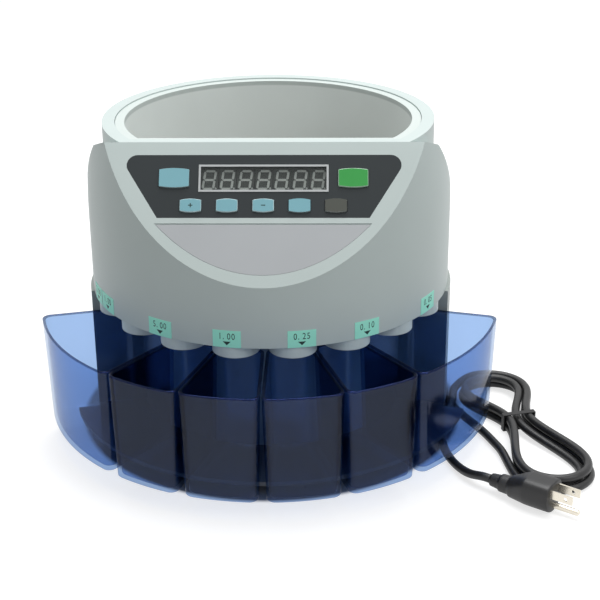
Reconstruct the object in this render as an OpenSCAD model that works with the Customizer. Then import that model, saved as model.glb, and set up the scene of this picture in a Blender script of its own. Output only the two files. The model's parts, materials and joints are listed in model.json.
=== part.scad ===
// Coin counting and sorting machine with feed hopper, inclined panel, eight outlets and six coin boxes.
// The drum's axis is vertical, the panel faces -Y, and z is measured from the surface that it stands on.
// Azimuths are degrees round the drum's axis from the front, positive towards +X.

/* [Head] */
// Radius of the drum
drum_r = 145; // [143:0.5:146]
// Radius of the neck round the hopper
neck_r = 130.5; // [129:0.5:132]
// Height of the head's lower edge
head_z = 115; // [114.5:0.5:115]
// Height of the top rim
rim_z = 250.5; // [249:0.5:252]
// Thickness of the moulded shell
shell_wall = 2.6; // [2.4:0.1:2.8]
// Fall of the top face behind the panel, in degrees
visor_fall = 22; // [21:1:23]

/* [Panel] */
// Slope of the panel, in degrees
panel_tilt = 51; // [50:0.5:52]
// Distance from the drum's axis to the panel's upper edge
panel_front = 74; // [73.5:0.5:75]
// Travel of a key
key_travel = 0.8; // [0.4:0.1:0.8]

/* [Hopper] */
// Inner radius of the bowl at the rim
bowl_top_r = 113; // [111:0.5:113.5]
// Inner radius of the bowl at its lower edge
bowl_bottom_r = 106; // [105:0.5:106.5]
// Thickness of the bowl
bowl_wall = 2.6; // [2.2:0.1:2.8]
// Slope of the bowl's front wall, in degrees
bowl_front_slope = 70; // [69:1:72]

/* [Outlets] */
// Angle from one outlet to the next, in degrees
outlet_pitch = 19.3; // [19.2:0.05:19.3]
// Outer radius of a spout
spout_r = 17.9; // [17.5:0.1:17.9]
// Distance from the drum's axis to a spout's
spout_at = 126.3; // [126.2:0.1:126.5]
// Height of a spout's lower end
spout_z = 106; // [104:0.5:107]
// Radial width of the narrowest aperture
aperture_min = 17; // [16.5:0.1:18]
// Step from one aperture's radial width to the next
aperture_step = 1.2; // [1:0.1:1.2]

/* [Coin boxes] */
// Distance that the boxes reach in front of the drum's axis
box_reach = 196.5; // [194:0.5:198]
// Radius of the boxes' outer wall in plan, at the top
box_top_r = 186; // [184:0.5:187]
// Radius of the boxes' outer wall in plan, at the bottom
box_bottom_r = 182.5; // [181:0.5:184]
// Angle that a single box takes, in degrees
box_pitch = 18.24; // [18:0.02:18.3]
// Height of a box
box_h = 84.5; // [80:0.5:85]
// Thickness of a box's wall
box_wall = 2.2; // [2:0.1:2.4]

/* [Base] */
// Height of the feet
foot_h = 11.2; // [11:0.1:11.2]
// Thickness of the base plate
plate_t = 3.5; // [3:0.1:3.5]
// Thickness of the lower casing's wall
casing_wall = 3; // [2.8:0.1:3.2]

/* [Drive] */
// Radius of the sorting disc
disc_r = 106; // [105.5:0.1:106]
// Radius of the disc's pulley
disc_pulley_r = 56; // [52:1:56]
// Radius of the motor's pulley
motor_pulley_r = 14; // [13:1:14]
// Distance between the disc's and the motor's shafts
motor_offset = 80; // [80:1:82]

/* [Mains lead] */
// Diameter of the lead
cord_d = 6.8; // [6.6:0.1:6.8]

/* [Hidden] */
$fn = 96;
hull_fn = 32;
far = 400;

// Heights and faces
axis_y = (box_reach - drum_r) / 2;
panel_y = -panel_front;
plate_top = foot_h + plate_t;
box_z = plate_top + 0.3;
box_top_z = box_z + box_h;
shoulder_z = 177;
shoulder_x = 82.6;
shoulder_arc_r = drum_r - shoulder_x;
visor_x = 90.5;
visor_arc_r = drum_r - visor_x;
visor_depth = sqrt(pow(visor_arc_r, 2) - pow(neck_r - visor_x, 2));
visor_end_y = 9;
visor_reach = 130;
barrel_drop_r = 5;
barrel_h = rim_z - shoulder_z;
barrel_arc_r = (pow(barrel_h, 2) + pow(barrel_drop_r, 2)) / (2 * barrel_drop_r);
gap = 0.3;

// Rear body
rear_az = 76;
column_r = 108;
casing_r = drum_r + 2.5;
casing_flat_y = 131;
opening_w = 90;
opening_z = [23, 91];
cover_w = 104;
cover_h = 78;
cover_t = 2.5;
cover_z = 57;
cover_y = casing_flat_y + cover_t;
cover_screws_at = [for (x = [-48.5, 48.5]) for (z = [-35.5, 35.5]) [x, cover_z + z]];
switch_x = -28;
switch_hole = [19.4, 26.4];
rocker_y = 130;
rocker_tilt = 8;
rocker_pin_r = 1.4;
fuse_x = 2;
fuse_r = 6.5;
gland_neck_r = 5;
post_r = 6.4;
post_bore_r = 1.6;
screw_hole_r = 2;
cover_bore_r = 1.2;
front_posts = [[101.5, -58], [101.5, 58]];
rear_posts = [[135.8, 108], [135.8, 148], [135.8, 212], [135.8, 252]];
feet = [[-85, -85], [85, -85], [-95, 85], [95, 85]];
foot_r = 10;

// Mouth and bowl
mouth_r = 120.6;
mouth_front_y = -66;
ledge_r = 117;
ledge_z = 242.5;
ledge_t = 2.5;
bowl_z = 144.5;
bowl_top_z = rim_z - 0.9;
bowl_front_y = -60;

// Panel features, measured across the panel and down from its upper edge
overlay_top = 10.2;
overlay_bottom = 59.4;
overlay_top_x = 107.5;
overlay_bottom_x = 77.6;
overlay_corner_r = 8;
overlay_t = 0.6;
insert_top = 64.6;
insert_r = 139;
insert_recess = 0.9;
window_w = 95.5;
window_top = 18;
window_bottom = 39.2;
window_y = -(window_top + window_bottom) / 2;
window_h = window_bottom - window_top;
bezel_w = 1.5;
digit_pitch = 13.4;
digit_half_w = 3.9;
digit_half_h = 6.9;
digit_slant = 0.14;
segment_w = 1.7;
segment_gap = 0.25;
board_z = -12;
board_t = 1.6;
big_key = [22, 15];
small_key = [15.8, 10.5];
big_key_x = 65.8;
big_key_y = -28.5;
small_key_y = -50;
small_key_pitch = 26.6;
key_bow = 1.1;
key_gap = 0.4;
key_top = 1.4;
key_places = [
  [-big_key_x, big_key_y, big_key], [big_key_x, big_key_y, big_key],
  for (i = [-2:2]) [i * small_key_pitch, small_key_y, small_key]
];
stem_bottom = -6;
board_posts = [[-51, -28.5], [51, -28.5], [-39.9, -50], [39.9, -50]];
label_half_az = 4.2;
label_spans = [
  [-71, -63.4], for (az = [-58.5, -32.5, -10.6, 11.3, 31.8, 59]) [az - label_half_az, az + label_half_az]
];
label_h = 13.5;
label_t = 0.25;

// Sorting parts
deck_z = 117;
deck_t = 3;
rail_z = 136;
rail_t = 2;
rail_guide_r = 137.5;
rail_guide_h = 7;
rail_r = 140;
aperture_outer_r = 136.3;
aperture_half_az = 6.5;
channel_in_r = 108.3;
channel_r = 139;
channel_w = 34;
channel_z = 116;
spout_wall = 3.2;
spout_fn = 40;
outlets = [for (i = [0:7]) (i - 3.5) * outlet_pitch];
disc_z = 135.3;
disc_t = 3;
pad_t = 1.5;
hub_r = 20;
hub_z = 123;
spindle_r = 6;
spindle_z = 67;
fit_gap = 0.05;
bearing_r = 16;
bearings_z = [87, 103];
pulley_z = 69;
pulley_h = 12;
pulley_flange_t = 1.5;
motor_r = 28;
motor_shaft_r = 4;
bracket_z = 114;

// Coin boxes
box_half_az = box_pitch / 2;
end_box_half_az = (rear_az - 0.8 - 2 * box_pitch) / 2;
end_box_mid_az = 2 * box_pitch + end_box_half_az;
box_back = 110.5;
box_side_gap = 0.5;
box_side_draft = 2.2;
box_corner_r = 6;
box_base_round = 2;
slice_t = 0.01;

// Route of the mains lead, drum axis at the origin
gland_x = 35;
gland_z = 33;
gland_end_y = 166.5;
lead_route = [
  [35, 166.5, 33], [35, 174, 33], [35, 190, 30], [41, 206, 22], [49, 220, 13], [60, 229, 6.5], [74, 231, 3.7],
  [90, 227, 3.5], [105, 216, 3.5], [117, 202, 3.5], [126, 186, 3.5], [133, 169, 3.5], [138, 151, 3.5],
  [141.5, 133, 3.5], [143.5, 115, 3.5], [144.5, 97, 3.5], [145, 79, 3.5], [145.3, 61, 3.5], [145.6, 43, 3.5],
  [146, 26, 3.5], [147, 10, 3.5], [149, -5, 3.5], [152.5, -19, 3.5], [157.5, -32, 3.5], [163.5, -44.5, 3.5],
  [169.8, -57, 3.5], [175.5, -70, 3.5], [180.3, -83, 3.5], [184.2, -95, 3.5]
];
tail_route = [
  [151.9, -18.5, 10.9], [149.4, -28.5, 9.7], [146.3, -38, 7.5], [143, -48, 5.6], [140.3, -60, 4.1],
  [139, -74, 3.5], [139.5, -89, 3.5], [142, -104, 3.5], [146.5, -118, 3.8], [152, -130.2, 5],
  [157.9, -139.7, 7.2]
];
plug_at = [184.5, -160.5];
plug_turn = -35;
plug_cord_z = 9.6;
boot_l = 17;
plug_l = 35;
plug_h = 24;
plug_w = 25;
blade_z = 17.5;
blade_pitch = 12.7;
pin_z = 5.6;

// Hank: loops in two layers, counted in 24 steps a loop, drawn in alike at the waist
hank_at = [200.5, -52.6];
hank_turn = 15;
hank_top_l = 52;
hank_bottom_l = 76;
hank_start = 4.2;
hank_end = 71;
hank_middle = 38.5;
hank_steps = 24;
run_steps = 5;
fold_steps = 7;
fold_r = 20.4;
fold_step = 7.6;
waist_half = 1.9;
waist_step = 9.4;
hank_low = 3.45;
layer_step = 7.25;
climb_start = 36;
cord_sides = 8;
hank_sides = 6;

function aim(az) = [sin(az), -cos(az)];
function unit(v) = v / norm(v);
function turn_z(p, a) = [p[0] * cos(a) - p[1] * sin(a), p[0] * sin(a) + p[1] * cos(a)];
function smooth(t) = let (s = min(max(t, 0), 1)) s * s * (3 - 2 * s);

// Hank line in its own frame, long axis along Y
function loops_off(q) = abs(q - hank_middle) / hank_steps;
function fold_radius(q) = fold_r + fold_step * loops_off(q);
function waist_radius(q) = waist_half + waist_step * loops_off(q);
function run_x(q, y) =
  let (l = y > 0 ? hank_top_l : hank_bottom_l)
  waist_radius(q) + (fold_radius(q) - waist_radius(q)) * (1 - cos(180 * abs(y) / l)) / 2;
function hank_flat(q) =
  let (p = q % hank_steps, l = hank_top_l + hank_bottom_l, half = run_steps + fold_steps)
  p < run_steps ? let (y = hank_top_l - l * p / run_steps) [-run_x(q, y), y]
  : p < half ? let (a = 180 * (p - run_steps) / fold_steps)
      [-fold_radius(q) * cos(a), -hank_bottom_l - fold_radius(q) * sin(a)]
  : p < half + run_steps ? let (y = l * (p - half) / run_steps - hank_bottom_l) [run_x(q, y), y]
  : let (a = 180 * (p - half - run_steps) / fold_steps)
      [fold_radius(q) * cos(a), hank_top_l + fold_radius(q) * sin(a)];
function hank_point(q) =
  let (p = turn_z(hank_flat(q), hank_turn))
  [hank_at[0] + p[0], hank_at[1] + p[1], hank_low + layer_step * smooth((q - climb_start) / run_steps)];
hank_line = [hank_point(hank_start), for (q = [ceil(hank_start):floor(hank_end)]) hank_point(q)];
hank_count = len(hank_line);
head_way = unit(hank_line[1] - hank_line[0]);
tail_way = unit(hank_line[hank_count - 1] - hank_line[hank_count - 2]);
hank_route = concat(
  [hank_line[0], hank_line[0] + head_way * cord_d],
  [for (i = [2:hank_count - 2]) hank_line[i]],
  [hank_line[hank_count - 1] - tail_way * cord_d, hank_line[hank_count - 1]]
);

// Least gap of the hank to itself, between points more than three diameters apart along it
fine = [for (q = [hank_start:0.25:hank_end]) hank_point(q)];
near = 12;
hank_gap = min([
  for (i = [0:len(fine) - 1]) for (j = [i + near:len(fine) - 1]) norm(fine[i] - fine[j])
]) - cord_d;
echo(hank_gap = hank_gap);

plug_way = concat(turn_z([1, 0], plug_turn), [0]);
plug_point = concat(plug_at + turn_z([-boot_l, 0], plug_turn), [plug_cord_z]);
lead_points = concat(lead_route, [hank_line[0] - head_way * cord_d, hank_line[0]]);
tail_points = concat(
  [hank_line[hank_count - 1], hank_line[hank_count - 1] + tail_way * cord_d], tail_route,
  [plug_point - plug_way * cord_d, plug_point]
);

module at_axis() { translate([0, axis_y, 0]) children(); }
module at_azimuth(az) { rotate([0, 0, az]) children(); }
module on_panel() { translate([0, panel_y, rim_z]) rotate([panel_tilt, 0, 0]) children(); }
module on_hank() { translate(hank_at) rotate([0, 0, hank_turn]) children(); }
module on_plug() { translate(plug_at) rotate([0, 0, plug_turn]) children(); }
module along_x() { rotate([0, 90, 0]) children(); }
module along_y() { rotate([-90, 0, 0]) children(); }

// Plate standing in the panel's plane between two levels of its own
module panel_slab(z0, z1) { on_panel() translate([0, 0, z0]) linear_extrude(z1 - z0) children(); }

module ring(r_out, r_in, z0, z1) {
  translate([0, 0, z0]) difference() {
    cylinder(r = r_out, h = z1 - z0);
    translate([0, 0, -1]) cylinder(r = r_in, h = z1 - z0 + 2);
  }
}

// Sector from azimuth a to b, long enough to pass any part
module sector(a, b) {
  steps = ceil((b - a) / 30);
  polygon(concat([[0, 0]], [for (i = [0:steps]) far * aim(a + (b - a) * i / steps)]));
}
module front_sector() { sector(-rear_az, rear_az); }
module rear_sector() { sector(rear_az, 360 - rear_az); }

// Tube swept along a route, a ring at each of its points
module tube(route, r, sides) {
  n = len(route);
  rings = [
    for (i = [0:n - 1])
      let (
        t = unit(route[min(i + 1, n - 1)] - route[max(i - 1, 0)]),
        side = unit(cross(t, [0, 0, 1])),
        up = cross(side, t)
      )
      for (k = [0:sides - 1])
        let (a = 360 * (k + 0.5) / sides) route[i] + r * (cos(a) * side + sin(a) * up)
  ];
  caps = [[for (k = [sides - 1:-1:0]) k], [for (k = [0:sides - 1]) (n - 1) * sides + k]];
  walls = [
    for (i = [0:n - 2]) for (k = [0:sides - 1])
      let (a = i * sides + k, b = i * sides + (k + 1) % sides, c = b + sides, d = a + sides)
      for (face = [[a, b, c], [a, c, d]]) face
  ];
  polyhedron(points = rings, faces = concat(caps, walls), convexity = 10);
}

// Base plate, feet and lower casing
module base_outline(t) {
  intersection() {
    circle(r = casing_r - t);
    translate([0, t / sin(rear_az)]) rear_sector();
    translate([-far, -far]) square([2 * far, far + casing_flat_y - t]);
  }
}
module casing_outline(t) {
  circle(r = column_r - t);
  base_outline(t);
}
module at_posts() {
  for (p = concat(front_posts, rear_posts)) translate(p[0] * aim(p[1])) children();
}

module base_plate() {
  plate_r = 165;
  plate_az = 74;
  color("dimgray") at_axis() translate([0, 0, foot_h]) linear_extrude(plate_t) difference() {
    union() {
      intersection() {
        circle(r = plate_r);
        sector(-plate_az, plate_az);
      }
      intersection() {
        circle(r = casing_r);
        translate([-far, -far]) square([2 * far, far + casing_flat_y]);
      }
    }
    at_posts() circle(r = screw_hole_r);
  }
}

module rubber_feet() {
  dish_r = 5;
  dish_h = 3;
  color("black") at_axis() for (p = feet) translate(p) difference() {
    cylinder(r = foot_r, h = foot_h);
    translate([0, 0, -1]) cylinder(r = dish_r, h = dish_h + 1);
  }
}

module lower_casing() {
  front_post_r = 5;
  front_post_h = 40;
  bore_depth = 18;
  ledge_h = 3;
  ledge_in_r = drum_r - shell_wall - 1;
  color("darkgray") at_axis() difference() {
    union() {
      translate([0, 0, plate_top]) linear_extrude(head_z - plate_top) difference() {
        casing_outline(0);
        casing_outline(casing_wall);
      }
      translate([0, 0, head_z - ledge_h]) linear_extrude(ledge_h) difference() {
        base_outline(1);
        circle(r = ledge_in_r);
      }
      intersection() {
        ring(column_r, column_r - casing_wall, head_z - 1, deck_z);
        linear_extrude(far) front_sector();
      }
      for (p = front_posts) translate(p[0] * aim(p[1])) translate([0, 0, plate_top])
        cylinder(r = front_post_r, h = front_post_h);
      for (p = rear_posts) translate(p[0] * aim(p[1])) translate([0, 0, plate_top])
        cylinder(r = post_r, h = deck_z - plate_top);
    }
    translate([-opening_w / 2, column_r, opening_z[0]])
      cube([opening_w, drum_r, opening_z[1] - opening_z[0]]);
    at_posts() translate([0, 0, plate_top - 1]) cylinder(r = post_bore_r, h = bore_depth + 1);
    for (p = cover_screws_at) translate([p[0], casing_flat_y - 2 * casing_wall, p[1]]) along_y()
      cylinder(r = cover_bore_r, h = 3 * casing_wall);
  }
}

module screw(r, l) {
  head_r = 1.9 * r;
  head_h = 1.4 * r;
  rotate_extrude() polygon([
    [0, -head_h], [0.7 * head_r, -head_h], [head_r, -head_h / 2], [head_r, 0],
    [r, 0], [r, l - r], [r / 4, l], [0, l]
  ]);
}
module casing_screws() {
  color("silver") at_axis() at_posts() translate([0, 0, foot_h]) screw(post_bore_r - fit_gap, 14);
}
module cover_screws() {
  color("silver") at_axis() for (p = cover_screws_at) translate([p[0], cover_y, p[1]]) rotate([90, 0, 0])
    screw(cover_bore_r - fit_gap, 5);
}

module rear_cover() {
  slot_x = 14;
  slot_w = 26;
  slot_h = 2.4;
  slot_pitch = 6;
  color("dimgray") at_axis() difference() {
    translate([-cover_w / 2, casing_flat_y, cover_z - cover_h / 2]) cube([cover_w, cover_t, cover_h]);
    translate([switch_x - switch_hole[0] / 2, casing_flat_y - 1, cover_z - switch_hole[1] / 2])
      cube([switch_hole[0], cover_t + 2, switch_hole[1]]);
    translate([fuse_x, casing_flat_y - 1, cover_z]) along_y() cylinder(r = fuse_r, h = cover_t + 2);
    translate([gland_x, casing_flat_y - 1, gland_z]) along_y() cylinder(r = gland_neck_r, h = cover_t + 2);
    for (p = cover_screws_at) translate([p[0], casing_flat_y - 1, p[1]]) along_y()
      cylinder(r = cover_bore_r + 0.1, h = cover_t + 2);
    for (i = [1:4]) translate([slot_x, casing_flat_y - 1, cover_z + i * slot_pitch])
      cube([slot_w, cover_t + 2, slot_h]);
  }
}

// Head shell: visor in front, revolved shoulder behind, neck through both, cut by the panel's plane
module head_body(t, z0) {
  intersection() {
    union() {
      visor(t, z0);
      rear_shoulder(t, z0);
      translate([0, 0, shoulder_z - 20]) cylinder(r = neck_r - t, h = rim_z - t - shoulder_z + 20);
    }
    on_panel() translate([-far / 2, -far, -far - t]) cube([far, 2 * far, far]);
  }
}
module rear_shoulder(t, z0) {
  intersection() {
    rotate_extrude() intersection() {
      union() {
        translate([0, z0]) square([drum_r - t, shoulder_z - z0]);
        translate([shoulder_x, shoulder_z]) circle(r = shoulder_arc_r - t);
        translate([0, z0]) square([shoulder_x, shoulder_z + shoulder_arc_r - t - z0]);
      }
      translate([0, z0]) square([drum_r, rim_z]);
    }
    translate([-far / 2, visor_end_y, 0]) cube([far, far, far]);
  }
}
module visor(t, z0) {
  intersection() {
    rotate_extrude() intersection() {
      translate([0, z0]) square([drum_r - t, rim_z - t - z0]);
      union() {
        translate([drum_r - barrel_arc_r, shoulder_z]) circle(r = barrel_arc_r - t, $fn = 720);
        translate([0, z0]) square([drum_r - t, shoulder_z - z0]);
      }
    }
    translate([0, panel_y, rim_z]) rotate([-visor_fall, 0, 0]) translate([0, visor_reach, 0])
      rotate([90, 0, 0]) linear_extrude(2 * visor_reach) visor_section(t);
    translate([-far / 2, visor_end_y - far, 0]) cube([far, far, far]);
  }
}
module visor_section(t) {
  intersection() {
    union() {
      for (side = [-1, 1]) translate([side * visor_x, -visor_depth]) circle(r = visor_arc_r - t);
      translate([-visor_x, -2 * visor_depth]) square([2 * visor_x, 2 * visor_depth]);
      translate([t - drum_r, -far - visor_depth]) square([2 * (drum_r - t), far]);
    }
    translate([-far / 2, -far - t]) square([far, far]);
  }
}
module mouth_outline(grow) {
  intersection() {
    circle(r = mouth_r + grow);
    translate([-far / 2, mouth_front_y - grow]) square([far, far]);
  }
}
module key_outline(size, grow) {
  w = size[0] / 2 + grow;
  h = size[1] / 2 + grow;
  arc_r = (w * w + key_bow * key_bow) / (2 * key_bow);
  intersection() {
    square([2 * w, 2 * h], center = true);
    translate([0, h - arc_r]) circle(r = arc_r);
    translate([0, arc_r - h]) circle(r = arc_r);
  }
}
module at_keys() {
  for (k = key_places) translate([k[0], k[1]]) key_outline(k[2], key_gap);
}
module overlay_outline() {
  rise = atan2(overlay_bottom - overlay_top, overlay_top_x - overlay_bottom_x);
  corner_x = overlay_top_x - overlay_corner_r / tan(rise / 2);
  corner_y = -overlay_top - overlay_corner_r;
  steps = 12;
  arc = [for (i = [0:steps]) let (a = rise - 90 + (180 - rise) * i / steps)
    [corner_x + overlay_corner_r * cos(a), corner_y + overlay_corner_r * sin(a)]];
  mirrored = [for (i = [steps:-1:0]) [-arc[i][0], arc[i][1]]];
  foot = [overlay_bottom_x, -overlay_bottom];
  polygon(concat([foot], arc, mirrored, [[-foot[0], foot[1]]]));
}
module window_outline(inset) {
  translate([0, window_y]) square([window_w - 2 * inset, window_h - 2 * inset], center = true);
}

module head_shell() {
  board_post_r = 2;
  guide_z = deck_z + deck_t;
  guide_az = 80;
  groove_w = 1;
  color("gainsboro") at_axis() difference() {
    union() {
      difference() {
        head_body(0, head_z);
        head_body(shell_wall, head_z - 1);
      }
      translate([0, 0, ledge_z]) linear_extrude(rim_z - ledge_z) mouth_outline(shell_wall);
      for (p = board_posts) on_panel() translate([p[0], p[1], board_z + board_t])
        cylinder(r = board_post_r, h = -overlay_t - 1 - board_z - board_t);
      intersection() {
        ring(drum_r - shell_wall + 0.1, channel_r + 0.5, guide_z, guide_z + 3);
        linear_extrude(far) sector(guide_az, 360 - guide_az);
      }
    }
    translate([0, 0, ledge_z + ledge_t]) linear_extrude(far) mouth_outline(0);
    translate([0, 0, ledge_z - 1]) linear_extrude(far) intersection() {
      circle(r = ledge_r);
      mouth_outline(0);
    }
    panel_slab(-overlay_t, far) overlay_outline();
    panel_slab(-2 * shell_wall, far) window_outline(bezel_w / 2);
    panel_slab(-2 * shell_wall, far) at_keys();
    intersection() {
      panel_slab(-insert_recess, far) translate([-far / 2, groove_w - insert_top - far]) square([far, far]);
      cylinder(r = insert_r, h = far);
    }
  }
}

module panel_insert() {
  color("silver") at_axis() intersection() {
    panel_slab(-insert_recess, -0.1) translate([-far / 2, -insert_top - far]) square([far, far]);
    cylinder(r = insert_r - gap, h = far);
  }
}

// Feed bowl hung in the mouth by its flange
module bowl_body(t, z0, z1) {
  slope = (bowl_top_r - bowl_bottom_r) / (bowl_top_z - bowl_z);
  front_t = t / sin(bowl_front_slope);
  front_z0 = (bowl_top_z - z0) / tan(bowl_front_slope);
  front_z1 = (bowl_top_z - z1) / tan(bowl_front_slope);
  intersection() {
    translate([0, 0, z0]) cylinder(
      r1 = bowl_bottom_r + t + slope * (z0 - bowl_z),
      r2 = bowl_bottom_r + t + slope * (z1 - bowl_z),
      h = z1 - z0
    );
    rotate([90, 0, 90]) translate([0, 0, -far / 2]) linear_extrude(far) polygon([
      [bowl_front_y - front_t - front_z0, z0], [far, z0], [far, z1], [bowl_front_y - front_t - front_z1, z1]
    ]);
  }
}
module hopper_bowl() {
  flange_z = ledge_z + ledge_t;
  color("silver") at_axis() difference() {
    union() {
      bowl_body(bowl_wall, bowl_z, bowl_top_z);
      translate([0, 0, flange_z]) linear_extrude(bowl_top_z - flange_z) mouth_outline(-gap);
    }
    bowl_body(0, bowl_z - 1, bowl_top_z + 1);
  }
}

// Panel pieces
module keypad_overlay() {
  color("darkslategray") at_axis() panel_slab(-overlay_t, 0) difference() {
    overlay_outline();
    window_outline(bezel_w / 2);
    at_keys();
  }
}
module display_window() {
  pane_t = 1.6;
  color("black", 0.7) at_axis() panel_slab(-pane_t, 0) window_outline(bezel_w / 2);
}
module display_bezel() {
  color("silver") at_axis() panel_slab(0, 0.5) difference() {
    window_outline(0);
    window_outline(bezel_w);
  }
}
module display_board() {
  board_w = 168;
  board_top = 14;
  board_h = 43;
  color("darkgreen") at_axis() panel_slab(board_z, board_z + board_t) difference() {
    translate([-board_w / 2, -board_top - board_h]) square([board_w, board_h]);
    for (p = board_posts) translate(p) circle(r = 1.1);
  }
}
// Segment of a figure between two corners, pointed at both ends and clear of its neighbours
module segment(from, to) {
  way = unit(to - from);
  d = way * segment_w / 2;
  n = [-d[1], d[0]];
  a = from + way * segment_gap;
  b = to - way * segment_gap;
  polygon([a, a + d + n, b - d + n, b, b - d - n, a + d - n]);
}
module figure_segments() {
  corners = [
    for (y = [-1:1]) for (x = [-1, 1]) [x * digit_half_w + digit_slant * y * digit_half_h, y * digit_half_h]
  ];
  for (s = [[0, 1], [2, 3], [4, 5], [0, 2], [2, 4], [1, 3], [3, 5]]) segment(corners[s[0]], corners[s[1]]);
}
module digit_modules() {
  module_w = 12.9;
  module_h = 19.9;
  module_top = -3.6;
  color("dimgray") at_axis() for (i = [-3:3]) {
    panel_slab(board_z + board_t, module_top) translate([i * digit_pitch, window_y])
      square([module_w, module_h], center = true);
    panel_slab(module_top, module_top + 0.2) translate([i * digit_pitch, window_y]) figure_segments();
  }
}
module key_switches() {
  body_w = 6;
  body_h = 2.3;
  plunger_r = 1.75;
  plunger_top = stem_bottom - key_travel - gap;
  base_z = board_z + board_t;
  color("black") at_axis() for (k = key_places) {
    panel_slab(base_z, base_z + body_h) translate([k[0], k[1]]) square(body_w, center = true);
    panel_slab(base_z, plunger_top) translate([k[0], k[1]]) circle(r = plunger_r);
  }
}
module key_cap(place) {
  flange_top = -shell_wall - gap;
  flange_t = 1;
  flange_grow = 1.2;
  stem_w = 5;
  at_axis() {
    panel_slab(flange_top - flange_t / 2, key_top) translate([place[0], place[1]]) key_outline(place[2], 0);
    panel_slab(flange_top - flange_t, flange_top) translate([place[0], place[1]])
      key_outline(place[2], flange_grow);
    panel_slab(stem_bottom, flange_top) translate([place[0], place[1]]) square(stem_w, center = true);
  }
}
module key_report() { color("skyblue") key_cap(key_places[0]); }
module key_start() { color("limegreen") key_cap(key_places[1]); }
module key_plus() { color("skyblue") key_cap(key_places[2]); }
module key_batch() { color("skyblue") key_cap(key_places[3]); }
module key_minus() { color("skyblue") key_cap(key_places[4]); }
module key_set() { color("skyblue") key_cap(key_places[5]); }
module key_clear() { color("dimgray") key_cap(key_places[6]); }

module outlet_labels() {
  color("mediumaquamarine") at_axis() for (span = label_spans) intersection() {
    ring(drum_r + label_t, drum_r, head_z, head_z + label_h);
    linear_extrude(far) sector(span[0], span[1]);
  }
}

// Sorting deck, spouts and rail
module sorting_deck() {
  centre_r = 24;
  front_r = 107.5;
  rear_r = 141;
  spouts_end_az = 78;
  rail_post_r = 5;
  rail_post_at = 125;
  color("lightgray") at_axis() {
    translate([0, 0, deck_z]) linear_extrude(deck_t) difference() {
      union() {
        circle(r = front_r);
        intersection() {
          circle(r = rear_r);
          sector(spouts_end_az, 360 - spouts_end_az);
        }
      }
      circle(r = centre_r);
    }
    for (az = [95, 137, 180, 223, 265]) at_azimuth(az) translate([0, -rail_post_at, deck_z + deck_t - 1])
      cylinder(r = rail_post_r, h = rail_z - deck_z - deck_t + 1);
  }
}
// Outlet spout: square channel under the rail that narrows to a round mouth, with a tab on the deck
module channel_block(inset, z0, z1) {
  intersection() {
    ring(channel_r - inset, channel_in_r + inset, z0, z1);
    translate([inset - channel_w / 2, -drum_r, z0 - 1]) cube([channel_w - 2 * inset, drum_r, z1 - z0 + 2]);
  }
}
module spout() {
  bore_r = spout_r - spout_wall;
  funnel_z = channel_z + 1;
  funnel_h = 6;
  tab_w = 26;
  tab_l = 10;
  tab_t = 2;
  seat_z = deck_z + deck_t;
  shell_in_r = drum_r - shell_wall - gap;
  difference() {
    union() {
      translate([0, -spout_at, spout_z]) cylinder(r = spout_r, h = seat_z - spout_z, $fn = spout_fn);
      channel_block(0, channel_z, rail_z);
      translate([-tab_w / 2, -channel_in_r - 1, seat_z]) cube([tab_w, tab_l, tab_t]);
    }
    ring(2 * drum_r, shell_in_r, head_z - gap, rail_z);
    translate([0, -spout_at, spout_z - 1]) cylinder(r = bore_r, h = funnel_z + 1.5 - spout_z, $fn = spout_fn);
    difference() {
      channel_block(spout_wall, funnel_z, rail_z + 1);
      difference() {
        translate([0, -spout_at, funnel_z - 1]) cylinder(r = 2 * spout_r, h = funnel_h + 1, $fn = spout_fn);
        translate([0, -spout_at, funnel_z - 1])
          cylinder(r1 = bore_r - 1, r2 = bore_r + funnel_h + 1, h = funnel_h + 2, $fn = spout_fn);
      }
    }
  }
}
module spout_ring() {
  color("lightgray") at_axis() for (az = outlets) at_azimuth(az) spout();
}
module sorting_rail() {
  color("silver") at_axis() difference() {
    union() {
      ring(rail_r, disc_r + 1, rail_z, rail_z + rail_t);
      ring(rail_r, rail_guide_r, rail_z, rail_z + rail_guide_h);
    }
    for (i = [0:7]) intersection() {
      aperture_in_r = aperture_outer_r - aperture_min - i * aperture_step;
      ring(aperture_outer_r, aperture_in_r, rail_z - 1, rail_z + rail_t + 1);
      linear_extrude(far) sector(outlets[i] - aperture_half_az, outlets[i] + aperture_half_az);
    }
  }
}
module coin_sensors() {
  sensor_w = 8;
  sensor_in_r = 124;
  sensor_z = rail_z + rail_guide_h;
  sensor_h = 6;
  color("black") at_axis() for (az = outlets) at_azimuth(az - outlet_pitch / 2)
    translate([-sensor_w / 2, -rail_r, sensor_z]) cube([sensor_w, rail_r - sensor_in_r, sensor_h]);
}

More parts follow.
